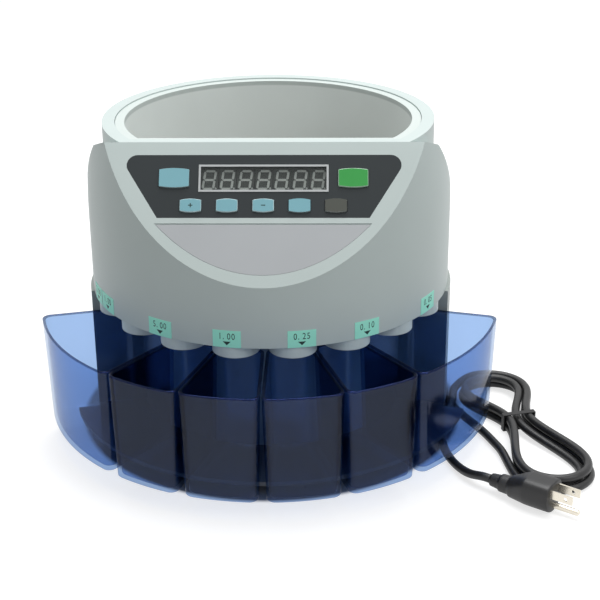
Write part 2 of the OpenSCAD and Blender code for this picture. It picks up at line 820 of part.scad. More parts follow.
// Disc, spindle and drive
module bearing_housing() {
  tube_r = 22;
  tube_z = 85;
  flange_r = 40;
  color("slategray") at_axis() {
    ring(tube_r, bearing_r, tube_z, deck_z);
    ring(flange_r, bearing_r, bracket_z, deck_z);
  }
}
module spindle_bearings() {
  bearing_t = 8;
  color("silver") at_axis() for (z = bearings_z) ring(bearing_r, spindle_r + fit_gap, z, z + bearing_t);
}
module sorting_disc() {
  color("gray") at_axis() {
    ring(disc_r, spindle_r, disc_z, disc_z + disc_t);
    ring(hub_r, spindle_r, hub_z, disc_z);
  }
}
module disc_pad() {
  pad_in_r = 62;
  color("saddlebrown") at_axis() ring(disc_r - 2, pad_in_r, disc_z + disc_t, disc_z + disc_t + pad_t);
}
module spreader_cap() {
  cap_r = 30;
  cap_h = 17;
  arc_r = (cap_r * cap_r + cap_h * cap_h) / (2 * cap_h);
  color("silver") at_axis() translate([0, 0, disc_z + disc_t]) rotate_extrude() intersection() {
    square([cap_r, cap_h]);
    translate([0, cap_h - arc_r]) circle(r = arc_r);
  }
}
module spindle() {
  spindle_l = disc_z + disc_t - spindle_z;
  color("silver") at_axis() translate([0, 0, spindle_z]) cylinder(r = spindle_r, h = spindle_l);
}
module pulley(r, bore) {
  flange_h = 1.5;
  t = pulley_flange_t;
  ring(r, bore, pulley_z, pulley_z + pulley_h);
  for (z = [pulley_z, pulley_z + pulley_h - t]) ring(r + flange_h, bore, z, z + t);
}
module disc_pulley() {
  hole_r = 11;
  hole_at = 34;
  color("dimgray") at_axis() difference() {
    pulley(disc_pulley_r, spindle_r);
    for (a = [0:60:300]) rotate([0, 0, a]) translate([hole_at, 0, pulley_z - 1])
      cylinder(r = hole_r, h = pulley_h + 2);
  }
}
module motor_pulley() {
  color("dimgray") at_axis() translate([0, motor_offset, 0]) pulley(motor_pulley_r, motor_shaft_r);
}
// Outline round both pulleys at distance t: two circles and their outer tangents
module belt_outline(t) {
  lean = asin((disc_pulley_r - motor_pulley_r) / motor_offset);
  circle(r = disc_pulley_r + t);
  translate([0, motor_offset]) circle(r = motor_pulley_r + t);
  polygon([
    for (side = [-1, 1]) (disc_pulley_r + t) * [side * cos(lean), sin(lean)],
    for (side = [1, -1]) [0, motor_offset] + (motor_pulley_r + t) * [side * cos(lean), sin(lean)]
  ]);
}
module drive_belt() {
  belt_t = 2;
  belt_z = pulley_z + pulley_flange_t + gap;
  belt_h = pulley_h - 2 * pulley_flange_t - 2 * gap;
  color("black") at_axis() translate([0, 0, belt_z]) linear_extrude(belt_h) difference() {
    belt_outline(gap + belt_t);
    belt_outline(gap);
  }
}
module motor() {
  can_z = pulley_z + pulley_h + 3;
  socket_depth = 16;
  color("gray") at_axis() translate([0, motor_offset, 0]) difference() {
    translate([0, 0, can_z]) cylinder(r = motor_r, h = bracket_z - can_z);
    translate([0, 0, can_z - 1]) cylinder(r = motor_shaft_r + fit_gap, h = socket_depth + 1);
  }
}
module motor_bracket() {
  bracket_w = 72;
  bracket_y = 48;
  bracket_l = 60;
  color("slategray") at_axis() translate([-bracket_w / 2, bracket_y, bracket_z])
    cube([bracket_w, bracket_l, deck_z - bracket_z]);
}
module motor_shaft() {
  shaft_l = 30;
  color("silver") at_axis() translate([0, motor_offset, pulley_z - 1])
    cylinder(r = motor_shaft_r, h = shaft_l);
}

// Electrical parts
module block(middle, size) {
  translate([middle[0] - size[0] / 2, middle[1] - size[1] / 2, middle[2]]) cube(size);
}
module main_board() {
  spacer_r = 3;
  spacer_h = 6.3;
  parts_z = spacer_h + board_t;
  color("darkgreen") at_axis() translate([0, -45, plate_top]) {
    for (x = [-44, 44]) for (y = [-29, 29]) translate([x, y, 0]) cylinder(r = spacer_r, h = spacer_h);
    block([0, 0, spacer_h], [100, 70, board_t]);
    block([0, -3, parts_z], [28, 14, 4]);
    for (x = [18:10:38]) translate([x, 22, parts_z]) cylinder(r = 4, h = 11);
    for (x = [-33:14:-5]) block([x, 23, parts_z], [10, 6, 8]);
  }
}
module transformer() {
  color("dimgray") at_axis() translate([-55, 66, plate_top]) {
    block([0, 0, 0], [60, 24, 50]);
    block([0, 0, 8], [40, 44, 34]);
    block([0, 0, 0], [76, 24, 2]);
  }
}
module fuse_holder() {
  holder_y = 110;
  flange_t = 3;
  color("black") at_axis() translate([fuse_x, 0, cover_z]) {
    translate([0, holder_y, 0]) along_y() cylinder(r = fuse_r, h = cover_y - holder_y);
    translate([0, cover_y, 0]) along_y() cylinder(r = fuse_r + 1.5, h = flange_t);
    translate([0, cover_y + flange_t, 0]) along_y() cylinder(r1 = fuse_r, r2 = fuse_r - 1, h = 2 * flange_t);
  }
}
module switch_body() {
  bezel = [22, 30];
  bezel_t = 2;
  back_y = 108;
  room_w = 15;
  room_h = 24;
  room_y = 121;
  pin_hole_w = 18;
  color("black") at_axis() translate([switch_x, 0, cover_z]) difference() {
    union() {
      translate([-switch_hole[0] / 2, back_y, -switch_hole[1] / 2])
        cube([switch_hole[0], cover_y - back_y, switch_hole[1]]);
      translate([-bezel[0] / 2, cover_y, -bezel[1] / 2]) cube([bezel[0], bezel_t, bezel[1]]);
    }
    translate([-room_w / 2, room_y, -room_h / 2]) cube([room_w, 40, room_h]);
    translate([-pin_hole_w / 2, rocker_y, 0]) along_x() cylinder(r = rocker_pin_r + fit_gap, h = pin_hole_w);
  }
}
module switch_rocker() {
  rocker_w = 14;
  pin_w = 17.4;
  color("firebrick") at_axis() translate([switch_x, rocker_y, cover_z]) rotate([-rocker_tilt, 0, 0]) {
    rotate([90, 0, 90]) translate([0, 0, -rocker_w / 2]) linear_extrude(rocker_w)
      polygon([[5.5, 0], [8, 10.5], [-1, 10.5], [-5, 4], [-5, -4], [-1, -10.5], [8, -10.5]]);
    translate([-pin_w / 2, 0, 0]) along_x() cylinder(r = rocker_pin_r, h = pin_w);
  }
}

// Coin boxes: outlines between two azimuth lines, a chord behind and the outer arc
module box_outline(mid, half, inset, front, r_out) {
  x_in = box_back * tan(half) - inset / cos(half);
  x_out = far / 2 * tan(half) - inset / cos(half);
  offset(r = box_corner_r, $fn = hull_fn) offset(delta = -box_corner_r) intersection() {
    translate([0, r_out - front]) circle(r = r_out, $fn = 120);
    rotate([0, 0, mid]) polygon([
      [-x_in, -box_back - inset], [x_in, -box_back - inset], [x_out, -far / 2], [-x_out, -far / 2]
    ]);
  }
}
module box_slice(mid, half, t, z) {
  down = (box_top_z - z) / box_h;
  inset = t + box_side_gap + box_side_draft * down;
  r_out = box_top_r - t - (box_top_r - box_bottom_r) * down;
  translate([0, 0, z]) linear_extrude(slice_t) box_outline(mid, half, inset, box_reach - t, r_out);
}
module coin_box(mid, half) {
  color("steelblue", 0.5) at_axis() difference() {
    hull() {
      box_slice(mid, half, box_base_round, box_z);
      box_slice(mid, half, 0, box_z + box_base_round);
      box_slice(mid, half, 0, box_top_z - slice_t);
    }
    hull() {
      box_slice(mid, half, box_wall + box_base_round, box_z + box_wall);
      box_slice(mid, half, box_wall, box_z + box_wall + box_base_round);
      box_slice(mid, half, box_wall, box_top_z + 1);
    }
  }
}
module coin_box_1() { coin_box(-end_box_mid_az, end_box_half_az); }
module coin_box_2() { coin_box(-1.5 * box_pitch, box_half_az); }
module coin_box_3() { coin_box(-0.5 * box_pitch, box_half_az); }
module coin_box_4() { coin_box(0.5 * box_pitch, box_half_az); }
module coin_box_5() { coin_box(1.5 * box_pitch, box_half_az); }
module coin_box_6() { coin_box(end_box_mid_az, end_box_half_az); }

// Mains lead
module cord_gland() {
  nut_r = 8;
  nut_t = 3.5;
  flange_r = 9;
  flange_t = 3;
  relief_y = cover_y + flange_t;
  relief_r = cord_d;
  tip_r = cord_d / 2 + 1;
  rib_t = 2.2;
  rib_pitch = 5;
  color("black") at_axis() translate([gland_x, 0, gland_z]) {
    translate([0, casing_flat_y - nut_t, 0]) along_y() cylinder(r = nut_r, h = nut_t);
    translate([0, casing_flat_y - nut_t - 1, 0]) along_y()
      cylinder(r = gland_neck_r, h = nut_t + cover_t + 2);
    translate([0, cover_y, 0]) along_y() cylinder(r = flange_r, h = flange_t);
    translate([0, relief_y, 0]) along_y() cylinder(r1 = relief_r, r2 = tip_r, h = gland_end_y - relief_y);
    for (i = [0:4]) translate([0, relief_y + (i + 0.8) * rib_pitch, 0]) along_y()
      cylinder(r = relief_r - i * (relief_r - tip_r) / 5, h = rib_t);
  }
}
module cord_lead() { color("black") at_axis() tube(lead_points, cord_d / 2, cord_sides); }
module cord_hank() { color("black") at_axis() tube(hank_route, cord_d / 2, hank_sides); }
module cord_tail() { color("black") at_axis() tube(tail_points, cord_d / 2, cord_sides); }
module cord_tie() {
  tie_w = 5;
  left = -10.2;
  right = 15.4;
  bottom = 0.1;
  top = hank_low + layer_step + cord_d / 2 + 0.5;
  tie_t = 1;
  color("black") at_axis() on_hank() rotate([90, 0, 0]) translate([0, 0, -tie_w / 2]) linear_extrude(tie_w)
    difference() {
      translate([left - tie_t, bottom]) square([right - left + 2 * tie_t, top - bottom]);
      translate([left, bottom + tie_t / 2]) square([right - left, top - bottom - tie_t]);
    }
}
module plug_body() {
  round_r = 5;
  back_r = 8.5;
  back_l = 4;
  grip_x = 14;
  boot_r = [5, 7];
  rib_r = 7.2;
  rib_t = 2.4;
  color("black") at_axis() on_plug() {
    hull() {
      translate([0, 0, plug_cord_z]) along_x() cylinder(r = back_r, h = back_l, $fn = hull_fn);
      for (y = [-1, 1]) translate([grip_x, y * (plug_w / 2 - round_r), plug_h - round_r]) along_x()
        cylinder(r = round_r, h = plug_l - grip_x, $fn = hull_fn);
      translate([grip_x, 0, plug_w / 2 + 0.05]) along_x()
        cylinder(r = plug_w / 2, h = plug_l - grip_x, $fn = hull_fn);
    }
    translate([-boot_l, 0, plug_cord_z]) along_x() cylinder(r1 = boot_r[0], r2 = boot_r[1], h = boot_l + 1);
    for (x = [-14:5:-4]) translate([x, 0, plug_cord_z]) along_x() cylinder(r = rib_r, h = rib_t);
  }
}
module plug_blades() {
  blade = [17.5, 1.5, 6.3];
  hole_x = 12;
  hole_r = 1.6;
  color("silver") at_axis() on_plug() for (side = [-1, 1]) difference() {
    translate([plug_l, side * blade_pitch / 2 - blade[1] / 2, blade_z - blade[2] / 2]) cube(blade);
    translate([plug_l + hole_x, side * blade_pitch / 2 - 2, blade_z]) along_y() cylinder(r = hole_r, h = 4);
  }
}
module plug_ground_pin() {
  pin_l = 21;
  ground_r = 2.4;
  color("silver") at_axis() on_plug() translate([plug_l, 0, pin_z]) {
    along_x() cylinder(r = ground_r, h = pin_l - ground_r);
    translate([pin_l - ground_r, 0, 0]) sphere(r = ground_r);
  }
}

base_plate();
rubber_feet();
lower_casing();
rear_cover();
spout_ring();
head_shell();
panel_insert();
hopper_bowl();
keypad_overlay();
display_window();
display_bezel();
display_board();
digit_modules();
key_switches();
key_report();
key_start();
key_plus();
key_batch();
key_minus();
key_set();
key_clear();
outlet_labels();
sorting_deck();
sorting_rail();
coin_sensors();
bearing_housing();
spindle_bearings();
sorting_disc();
disc_pad();
spreader_cap();
spindle();
disc_pulley();
drive_belt();
motor();
motor_bracket();
motor_pulley();
motor_shaft();
main_board();
transformer();
fuse_holder();
switch_body();
switch_rocker();
casing_screws();
cover_screws();
coin_box_1();
coin_box_2();
coin_box_3();
coin_box_4();
coin_box_5();
coin_box_6();
cord_gland();
cord_lead();
cord_hank();
cord_tail();
cord_tie();
plug_body();
plug_blades();
plug_ground_pin();
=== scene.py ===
"""Coin counting and sorting machine: finer skins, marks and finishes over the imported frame, in metres."""
import json
import math
import bmesh
import bpy
import numpy as np
from mathutils import Matrix, Vector

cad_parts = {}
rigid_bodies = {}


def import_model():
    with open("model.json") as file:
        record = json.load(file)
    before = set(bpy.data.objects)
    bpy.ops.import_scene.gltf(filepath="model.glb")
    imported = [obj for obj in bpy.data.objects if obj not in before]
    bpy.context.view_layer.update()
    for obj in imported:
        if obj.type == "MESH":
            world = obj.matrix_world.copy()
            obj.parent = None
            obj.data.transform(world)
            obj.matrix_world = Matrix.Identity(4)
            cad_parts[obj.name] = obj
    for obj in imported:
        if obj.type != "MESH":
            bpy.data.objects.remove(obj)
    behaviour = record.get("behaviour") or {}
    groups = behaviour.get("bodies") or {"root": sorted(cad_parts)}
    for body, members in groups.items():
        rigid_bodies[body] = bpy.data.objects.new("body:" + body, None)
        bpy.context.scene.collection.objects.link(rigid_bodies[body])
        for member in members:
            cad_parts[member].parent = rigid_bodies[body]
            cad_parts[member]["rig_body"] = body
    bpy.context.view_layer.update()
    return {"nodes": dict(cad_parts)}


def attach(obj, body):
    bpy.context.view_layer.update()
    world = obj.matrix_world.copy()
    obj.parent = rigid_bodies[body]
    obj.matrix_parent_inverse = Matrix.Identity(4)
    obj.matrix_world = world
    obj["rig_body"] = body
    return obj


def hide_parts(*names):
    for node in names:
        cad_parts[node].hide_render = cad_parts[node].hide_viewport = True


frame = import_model()

# Sizes that the pieces here share with the frame
AXIS_Y = 0.02575
RIM_Z = 0.2505
HEAD_Z = 0.115
PANEL_TILT = math.radians(51)
PANEL_FRONT = 0.074

# Coin boxes
BOX_REACH = 0.1965
BOX_TOP_R = 0.186
BOX_BOTTOM_R = 0.1825
BOX_Z = 0.015
BOX_H = 0.0845
BOX_WALL = 0.0022
BOX_BACK = 0.1105
BOX_FAR = 0.2
BOX_GAP = 0.0005
BOX_DRAFT = 0.0022
BOX_CORNER_R = 0.006
BOX_ROUND = 0.002
CORNER_POINTS = 9
FRONT_POINTS = 50
ROUND_POINTS = 7
RIM_POINTS = 11
FLAT_REACH = 0.002
TOP_HOLD = 0.003
FOOT_HOLD = 0.005
SIDE_HOLD = 0.04
BOX_PITCH = 18.24
END_BOX_HALF = 19.36
END_BOX_MIDDLE = 55.84
GATE_UP = 0.0125
GATE_RINGS = (0.0009, 0.00075, 0.0005, 0.00025)
GATE_RISE = 0.0003
GATE_SINK = 0.00005
GATE_SIDES = 12

# Display and keys, on the panel
WINDOW_MIDDLE = -0.0286
DIGIT_PITCH = 0.0134
DIGIT_FACE = -0.0036
SMALL_KEY_PITCH = 0.0266
SMALL_KEY_Y = -0.050
KEY_TOP = 0.0014
SIGN_LONG = 0.0016
SIGN_THIN = 0.00036
SIGN_STEP = 0.00004
POINT_R = 0.0007
POINT_ACROSS = 0.0048
POINT_DOWN = 0.0066
POINT_SIDES = 16
POINT_RISE = 0.0002
POINT_SINK = 0.0001

# Outlet labels: degrees round the drum and the figure that each shows
LABEL_R = 0.14525
LABEL_FIGURES = [
    (-67.2, "2.00"), (-58.5, "1.00"), (-32.5, "5.00"), (-10.6, "1.00"), (11.3, "0.25"), (31.8, "0.10"),
    (59.0, "0.05"),
]
FIGURE_H = 0.0050
FIGURE_NARROW = 0.78
FIGURE_CAP = 0.7
FIGURE_PITCH = 0.0033
FIGURE_UP = 0.0065
POINT_SHIFT = 0.0008
LABEL_TRIANGLE = [(-0.00295, 0.00475), (0.0, 0.00175), (0.00295, 0.00475)]
INK_LIFT = 0.00005

# Nodes whose edges are rounded, and the width asked for; short edges hold much of it back, on the head all of it
ROUNDED = {
    "head_shell": 0.0009, "hopper_bowl": 0.0008, "lower_casing": 0.0006, "spout_ring": 0.0006, "base_plate": 0.0006,
    "rear_cover": 0.0006, "panel_insert": 0.0003, "key_report": 0.0006, "key_start": 0.0006, "key_plus": 0.0005,
    "key_batch": 0.0005, "key_minus": 0.0005, "key_set": 0.0005, "key_clear": 0.0005,
}
EDGE_STEPS = 3
SMOOTH_BELOW = math.radians(32)
ROUND_ABOVE = math.radians(38)
SEAM_GAP = 2e-6
FLAT_WITHIN = math.radians(0.03)

# Finishes: how coarse and deep the moulded grain is, and where a colour or a skin changes
GRAIN = 0.0007
GRAIN_DEPTH = 0.00002
CLOUD = 0.05
STREAK = 0.12
# Bowl: below the flange the colour is painted paler, as painted light inside the bowl
FLANGE_Z = 0.2455
FLANGE_RISE = 1000
# Keys: a painted highlight, paler where the top turns over into the sides
KEY_FLAT = 0.985
KEY_HIGHLIGHT_RISE = 12
KEY_HIGHLIGHT_SHARE = 0.55
SKIN_SHARE = 0.11
# Box rims: a band of painted shade along the top edge
RIM_SHADE_BAND = 0.0014
RIM_SHADE_RISE = 2500
RIM_SHADE_SHARE = 0.5
SEGMENT_RISE = 20000
SEGMENT_LIFT = 0.00005

# Lamps: name, place, side of the square, watts; then what the world and the floor give
LAMPS = [("key", (1.3, -0.9, 1.4), 1.0, 9), ("fill", (-1.3, -1.2, 1.0), 1.2, 1), ("top", (0.1, 0.45, 1.85), 1.4, 34)]
LAMP_TARGET = Vector((0, 0, 0.12))
WORLD_LIGHT = 0.36
WORLD_SEEN = 1.0
FLOOR_HALF = 3.0
FLOOR_WHITE = 0.42
FLOOR_GLOW = 0.7
FLOOR_DARK_R = 0.1555
FLOOR_RISE = 220
FLOOR_MIDDLE_Y = AXIS_Y - 0.0105

# Camera: where the photograph was taken from
LENS_MM = 83.87
CAMERA_AT = (0.0498, -1.0446, 0.5475)
CAMERA_HEADING = math.radians(-1.395)
CAMERA_PITCH = math.radians(23.043)
CAMERA_ROLL = math.radians(0.487)

# Mains lead, its places measured from the drum's axis
CORD_D = 0.0068
CORD_SIDES = 14
CORD_STEP = 0.002
CORD_OFF_FLOOR = 0.00002
LEAD_ROUTE = [
    (0.035, 0.1665, 0.033), (0.035, 0.174, 0.033), (0.035, 0.190, 0.030), (0.041, 0.206, 0.022),
    (0.049, 0.220, 0.013), (0.060, 0.229, 0.0065), (0.074, 0.231, 0.0037), (0.090, 0.227, 0.0035),
    (0.105, 0.216, 0.0035), (0.117, 0.202, 0.0035), (0.126, 0.186, 0.0035), (0.133, 0.169, 0.0035),
    (0.138, 0.151, 0.0035), (0.1415, 0.133, 0.0035), (0.1435, 0.115, 0.0035), (0.1445, 0.097, 0.0035),
    (0.145, 0.079, 0.0035), (0.1453, 0.061, 0.0035), (0.1456, 0.043, 0.0035), (0.146, 0.026, 0.0035),
    (0.147, 0.010, 0.0035), (0.149, -0.005, 0.0035), (0.1525, -0.019, 0.0035), (0.1575, -0.032, 0.0035),
    (0.1635, -0.0445, 0.0035), (0.1698, -0.057, 0.0035), (0.1755, -0.070, 0.0035), (0.1803, -0.083, 0.0035),
    (0.1842, -0.095, 0.0035),
]
TAIL_ROUTE = [
    (0.1519, -0.0185, 0.0109), (0.1494, -0.0285, 0.0097), (0.1463, -0.038, 0.0075), (0.143, -0.048, 0.0056),
    (0.1403, -0.060, 0.0041), (0.139, -0.074, 0.0035), (0.1395, -0.089, 0.0035), (0.142, -0.104, 0.0035),
    (0.1465, -0.118, 0.0038), (0.152, -0.1302, 0.005), (0.1579, -0.1397, 0.0072),
]
PLUG_AT = (0.1845, -0.1605)
PLUG_TURN = math.radians(-35)
PLUG_CORD_Z = 0.0096
BOOT_L = 0.017
PLUG_SIDES = 48
PLUG_SMOOTH_BELOW = math.radians(50)
PLUG_FINER = np.r_[np.linspace(-0.0155, -0.002, 8), np.linspace(0.001, 0.016, 16)]
HANK_AT = (0.2005, -0.0526)
HANK_TURN = math.radians(15)
HANK_TOP_L = 0.052
HANK_BOTTOM_L = 0.076
HANK_START = 4.2
HANK_END = 71.0
HANK_MIDDLE = 38.5
HANK_STEPS = 24
RUN_STEPS = 5
FOLD_STEPS = 7
FOLD_R = 0.0204
FOLD_STEP = 0.0076
WAIST_HALF = 0.0019
WAIST_STEP = 0.0094
HANK_LOW = 0.00345
LAYER_STEP = 0.00725
CLIMB_START = 36

# Plug, from the cord's end to the blades, in mm: place, half width, half height below and above, middle; squareness
PLUG_SECTIONS = np.array([
    (-17.0, 4.1, 4.1, 4.1, 9.6, 2.0), (-16.6, 4.7, 4.7, 4.7, 9.6, 2.0), (-15.8, 5.0, 5.0, 5.0, 9.6, 2.0),
    (-9.6, 5.7, 5.7, 5.7, 9.6, 2.0), (-9.0, 6.0, 6.0, 6.0, 9.6, 2.0), (-8.4, 6.8, 6.8, 6.8, 9.6, 2.0),
    (-7.6, 7.0, 7.0, 7.0, 9.6, 2.0), (-1.2, 7.2, 7.2, 7.2, 9.6, 2.0), (-0.4, 7.6, 7.6, 7.6, 9.6, 2.0),
    (0.4, 8.4, 8.3, 8.4, 9.7, 2.1), (1.6, 8.9, 8.7, 8.9, 9.8, 2.2), (5.0, 9.8, 9.5, 9.7, 10.4, 2.5),
    (9.0, 11.0, 10.8, 10.6, 11.4, 3.0), (12.0, 11.9, 11.8, 11.1, 12.2, 3.4), (14.5, 12.4, 12.4, 11.4, 12.55, 3.6),
    (17.0, 12.5, 12.5, 11.45, 12.55, 3.8), (30.0, 12.5, 12.5, 11.45, 12.55, 3.8),
    (33.8, 12.45, 12.4, 11.4, 12.55, 3.8), (34.6, 12.2, 12.2, 11.2, 12.55, 3.8), (35.0, 11.6, 11.6, 10.6, 12.55, 3.8),
]) * (0.001, 0.001, 0.001, 0.001, 0.001, 1)


def make_camera():
    """Level and facing +y, then turned right by the heading, down by the pitch and clockwise by the roll."""
    data = bpy.data.cameras.new("photo_camera")
    data.lens = LENS_MM
    data.sensor_width = 36
    data.clip_start = 0.05
    camera = bpy.data.objects.new("photo_camera", data)
    turn = (Matrix.Rotation(-CAMERA_HEADING, 3, "Z") @ Matrix.Rotation(math.pi / 2 - CAMERA_PITCH, 3, "X")
            @ Matrix.Rotation(-CAMERA_ROLL, 3, "Z"))
    camera.matrix_world = Matrix.Translation(CAMERA_AT) @ turn.to_4x4()
    bpy.context.scene.collection.objects.link(camera)
    bpy.context.scene.camera = camera


# Shapes
def add_mesh(name, points, faces, smooth=True):
    """Object at the origin with these points and faces."""
    mesh = bpy.data.meshes.new(name)
    mesh.from_pydata(np.asarray(points, float).reshape(-1, 3).tolist(), [], [list(f) for f in faces])
    mesh.validate()
    mesh.polygons.foreach_set("use_smooth", [smooth] * len(mesh.polygons))
    mesh.update()
    piece = bpy.data.objects.new(name, mesh)
    bpy.context.scene.collection.objects.link(piece)
    return piece


def grid_faces(rows, columns):
    """Quads between neighbouring rows of a grid of points, the last column joined to the first."""
    i, j = np.meshgrid(np.arange(rows - 1), np.arange(columns), indexing="ij")
    after = (j + 1) % columns
    quads = np.stack([i * columns + j, i * columns + after, (i + 1) * columns + after, (i + 1) * columns + j], -1)
    return quads.reshape(-1, 4).tolist()


def end_caps(rows, columns):
    """The two faces that close the first and the last row of a grid of points."""
    return [list(range(columns))[::-1], list(range((rows - 1) * columns, rows * columns))]


def unit(v):
    """Vectors over their own lengths."""
    return v / np.linalg.norm(v, axis=-1, keepdims=True)


def smooth_line(points, step):
    """Natural cubic spline through points, each coordinate a cubic of the chord length, sampled every step."""
    p = np.asarray(points, float)
    s = np.r_[0, np.cumsum(np.linalg.norm(np.diff(p, axis=0), axis=1))]
    h = np.diff(s)
    n = len(p)
    system = np.eye(n)
    right = np.zeros((n, 3))
    inner = np.arange(1, n - 1)
    system[inner, inner - 1] = h[:-1]
    system[inner, inner] = 2 * (h[:-1] + h[1:])
    system[inner, inner + 1] = h[1:]
    right[1:-1] = 6 * (np.diff(p, axis=0)[1:] / h[1:, None] - np.diff(p, axis=0)[:-1] / h[:-1, None])
    bend = np.linalg.solve(system, right)
    t = np.linspace(0, s[-1], int(s[-1] / step) + 1)
    k = np.clip(np.searchsorted(s, t, side="right") - 1, 0, n - 2)
    a = ((s[k + 1] - t) / h[k])[:, None]
    b = 1 - a
    hk = h[k][:, None]
    return a * p[k] + b * p[k + 1] + ((a**3 - a) * bend[k] + (b**3 - b) * bend[k + 1]) * hk**2 / 6


def round_angles(sides):
    """Even steps of a full turn."""
    return np.arange(sides) / sides * 2 * math.pi


def tube(line, radius, sides):
    """Rings of points round a line: line(u) + radius(u) * (cos v * side(u) + sin v * up(u))."""
    way = unit(np.gradient(line, axis=0))
    side = unit(np.cross((0, 0, 1), way))
    up = np.cross(way, side)
    v = round_angles(sides)
    r = np.broadcast_to(radius, len(line))[:, None, None]
    return line[:, None] + r * (np.cos(v)[None, :, None] * side[:, None] + np.sin(v)[None, :, None] * up[:, None])


def turn_z(x, y, angle):
    """Point turned about the upright axis: x cos - y sin, x sin + y cos."""
    return x * math.cos(angle) - y * math.sin(angle), x * math.sin(angle) + y * math.cos(angle)


def hank_line(q):
    """Two layers of loops: straight runs and half-round folds, 24 counts a loop, narrow at the waist."""
    off = np.abs(q - HANK_MIDDLE) / HANK_STEPS
    fold, waist = FOLD_R + FOLD_STEP * off, WAIST_HALF + WAIST_STEP * off
    part = q % HANK_STEPS
    half = RUN_STEPS + FOLD_STEPS
    whole = HANK_TOP_L + HANK_BOTTOM_L
    back = part >= half
    step = np.where(back, part - half, part)
    sign = np.where(back, 1.0, -1.0)
    y_run = np.where(back, -HANK_BOTTOM_L + whole * step / RUN_STEPS, HANK_TOP_L - whole * step / RUN_STEPS)
    reach = np.where(y_run > 0, HANK_TOP_L, HANK_BOTTOM_L)
    x_run = waist + (fold - waist) * (1 - np.cos(math.pi * np.clip(np.abs(y_run) / reach, 0, 1))) / 2
    a = math.pi * (step - RUN_STEPS) / FOLD_STEPS
    on_run = step < RUN_STEPS
    x = sign * np.where(on_run, x_run, fold * np.cos(a))
    y = np.where(on_run, y_run, np.where(back, HANK_TOP_L, -HANK_BOTTOM_L) + sign * fold * np.sin(a))
    rise = np.clip((q - CLIMB_START) / RUN_STEPS, 0, 1)
    z = HANK_LOW + LAYER_STEP * rise * rise * (3 - 2 * rise)
    x, y = turn_z(x, y, HANK_TURN)
    return np.stack([HANK_AT[0] + x, HANK_AT[1] + y, z], -1)


def on_plug(x, y, z):
    """Place of a point given along, across and above the plug, from the drum's axis."""
    px, py = turn_z(x, y, PLUG_TURN)
    return (PLUG_AT[0] + px, PLUG_AT[1] + py, z)


def cord_path():
    """Spline through the lead's places, the hank's and the tail's, held a little above the floor."""
    turns = hank_line(np.r_[HANK_START, np.arange(math.ceil(HANK_START), HANK_END + 0.5)])
    ways = unit(turns[[1, -1]] - turns[[0, -2]]) * CORD_D
    points = np.vstack([
        LEAD_ROUTE, turns[0] - ways[0], turns[0] + ways[0], turns[2:-2], turns[-1] - ways[1], turns[-1] + ways[1],
        TAIL_ROUTE, on_plug(-BOOT_L - CORD_D, 0, PLUG_CORD_Z), on_plug(-BOOT_L, 0, PLUG_CORD_Z),
    ])
    line = smooth_line(points, CORD_STEP)
    line[:, 2] = np.maximum(line[:, 2], CORD_D / 2 + CORD_OFF_FLOOR)
    line[:, 1] += AXIS_Y
    return line


def make_cord():
    """One tube from the gland to the plug's boot, laid as a lead, a hank and a tail."""
    line = cord_path()
    rings = tube(line, CORD_D / 2, CORD_SIDES)
    faces = grid_faces(len(line), CORD_SIDES) + end_caps(len(line), CORD_SIDES)
    piece = add_mesh("mains_lead", rings, faces)
    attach(piece, "machine")
    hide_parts("cord_lead", "cord_hank", "cord_tail")


def make_plug():
    """Rings along the plug: half width * sgn(cos v) |cos v|^(2/n), half height * sgn(sin v) |sin v|^(2/n).

    Above the middle n is the section's squareness, below it n is 2, which is round.
    """
    place = PLUG_SECTIONS[:, 0]
    fine = np.unique(np.r_[place, PLUG_FINER])
    wide, low, high, middle, square = (np.interp(fine, place, column)[:, None] for column in PLUG_SECTIONS.T[1:])
    v = round_angles(PLUG_SIDES)
    c, s = np.cos(v)[None], np.sin(v)[None]
    power = 2 / np.where(s > 0, square, 2.0)
    y = wide * np.sign(c) * np.abs(c)**power
    z = middle + np.where(s > 0, high, low) * np.sign(s) * np.abs(s)**power
    x = np.broadcast_to(fine[:, None], y.shape)
    points = np.stack(on_plug(x, y, z), -1)
    points[..., 1] += AXIS_Y
    faces = grid_faces(len(fine), PLUG_SIDES) + end_caps(len(fine), PLUG_SIDES)
    piece = add_mesh("plug_moulding", points, faces)
    piece.data.set_sharp_from_angle(angle=PLUG_SMOOTH_BELOW)
    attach(piece, "machine")
    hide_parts("plug_body")


def on_panel(x, y, z):
    """Place of a point given across, up and out of the inclined panel."""
    return np.stack(np.broadcast_arrays(
        x, AXIS_Y - PANEL_FRONT + y * math.cos(PANEL_TILT) - z * math.sin(PANEL_TILT),
        RIM_Z + y * math.sin(PANEL_TILT) + z * math.cos(PANEL_TILT)), -1)


def merged(node):
    """A copy of a CAD node's mesh, its seams joined and its flat triangles made whole faces."""
    shape = bmesh.new()
    shape.from_mesh(frame["nodes"][node].data)
    bmesh.ops.remove_doubles(shape, verts=shape.verts, dist=SEAM_GAP)
    bmesh.ops.dissolve_limit(shape, angle_limit=FLAT_WITHIN, verts=shape.verts, edges=shape.edges)
    mesh = bpy.data.meshes.new(node + "_finished")
    shape.to_mesh(mesh)
    shape.free()
    return mesh


def round_edges(node, width):
    """Stands a merged copy with rounded edges in for a CAD node."""
    mesh = merged(node)
    mesh.polygons.foreach_set("use_smooth", [True] * len(mesh.polygons))
    mesh.set_sharp_from_angle(angle=SMOOTH_BELOW)
    piece = bpy.data.objects.new(node + "_finished", mesh)
    bpy.context.scene.collection.objects.link(piece)
    rounding = piece.modifiers.new("rounding", "BEVEL")
    rounding.width = width
    rounding.segments = EDGE_STEPS
    rounding.limit_method = "ANGLE"
    rounding.angle_limit = ROUND_ABOVE
    even = piece.modifiers.new("even_shading", "WEIGHTED_NORMAL")
    even.keep_sharp = True
    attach(piece, frame["nodes"][node]["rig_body"])
    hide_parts(node)


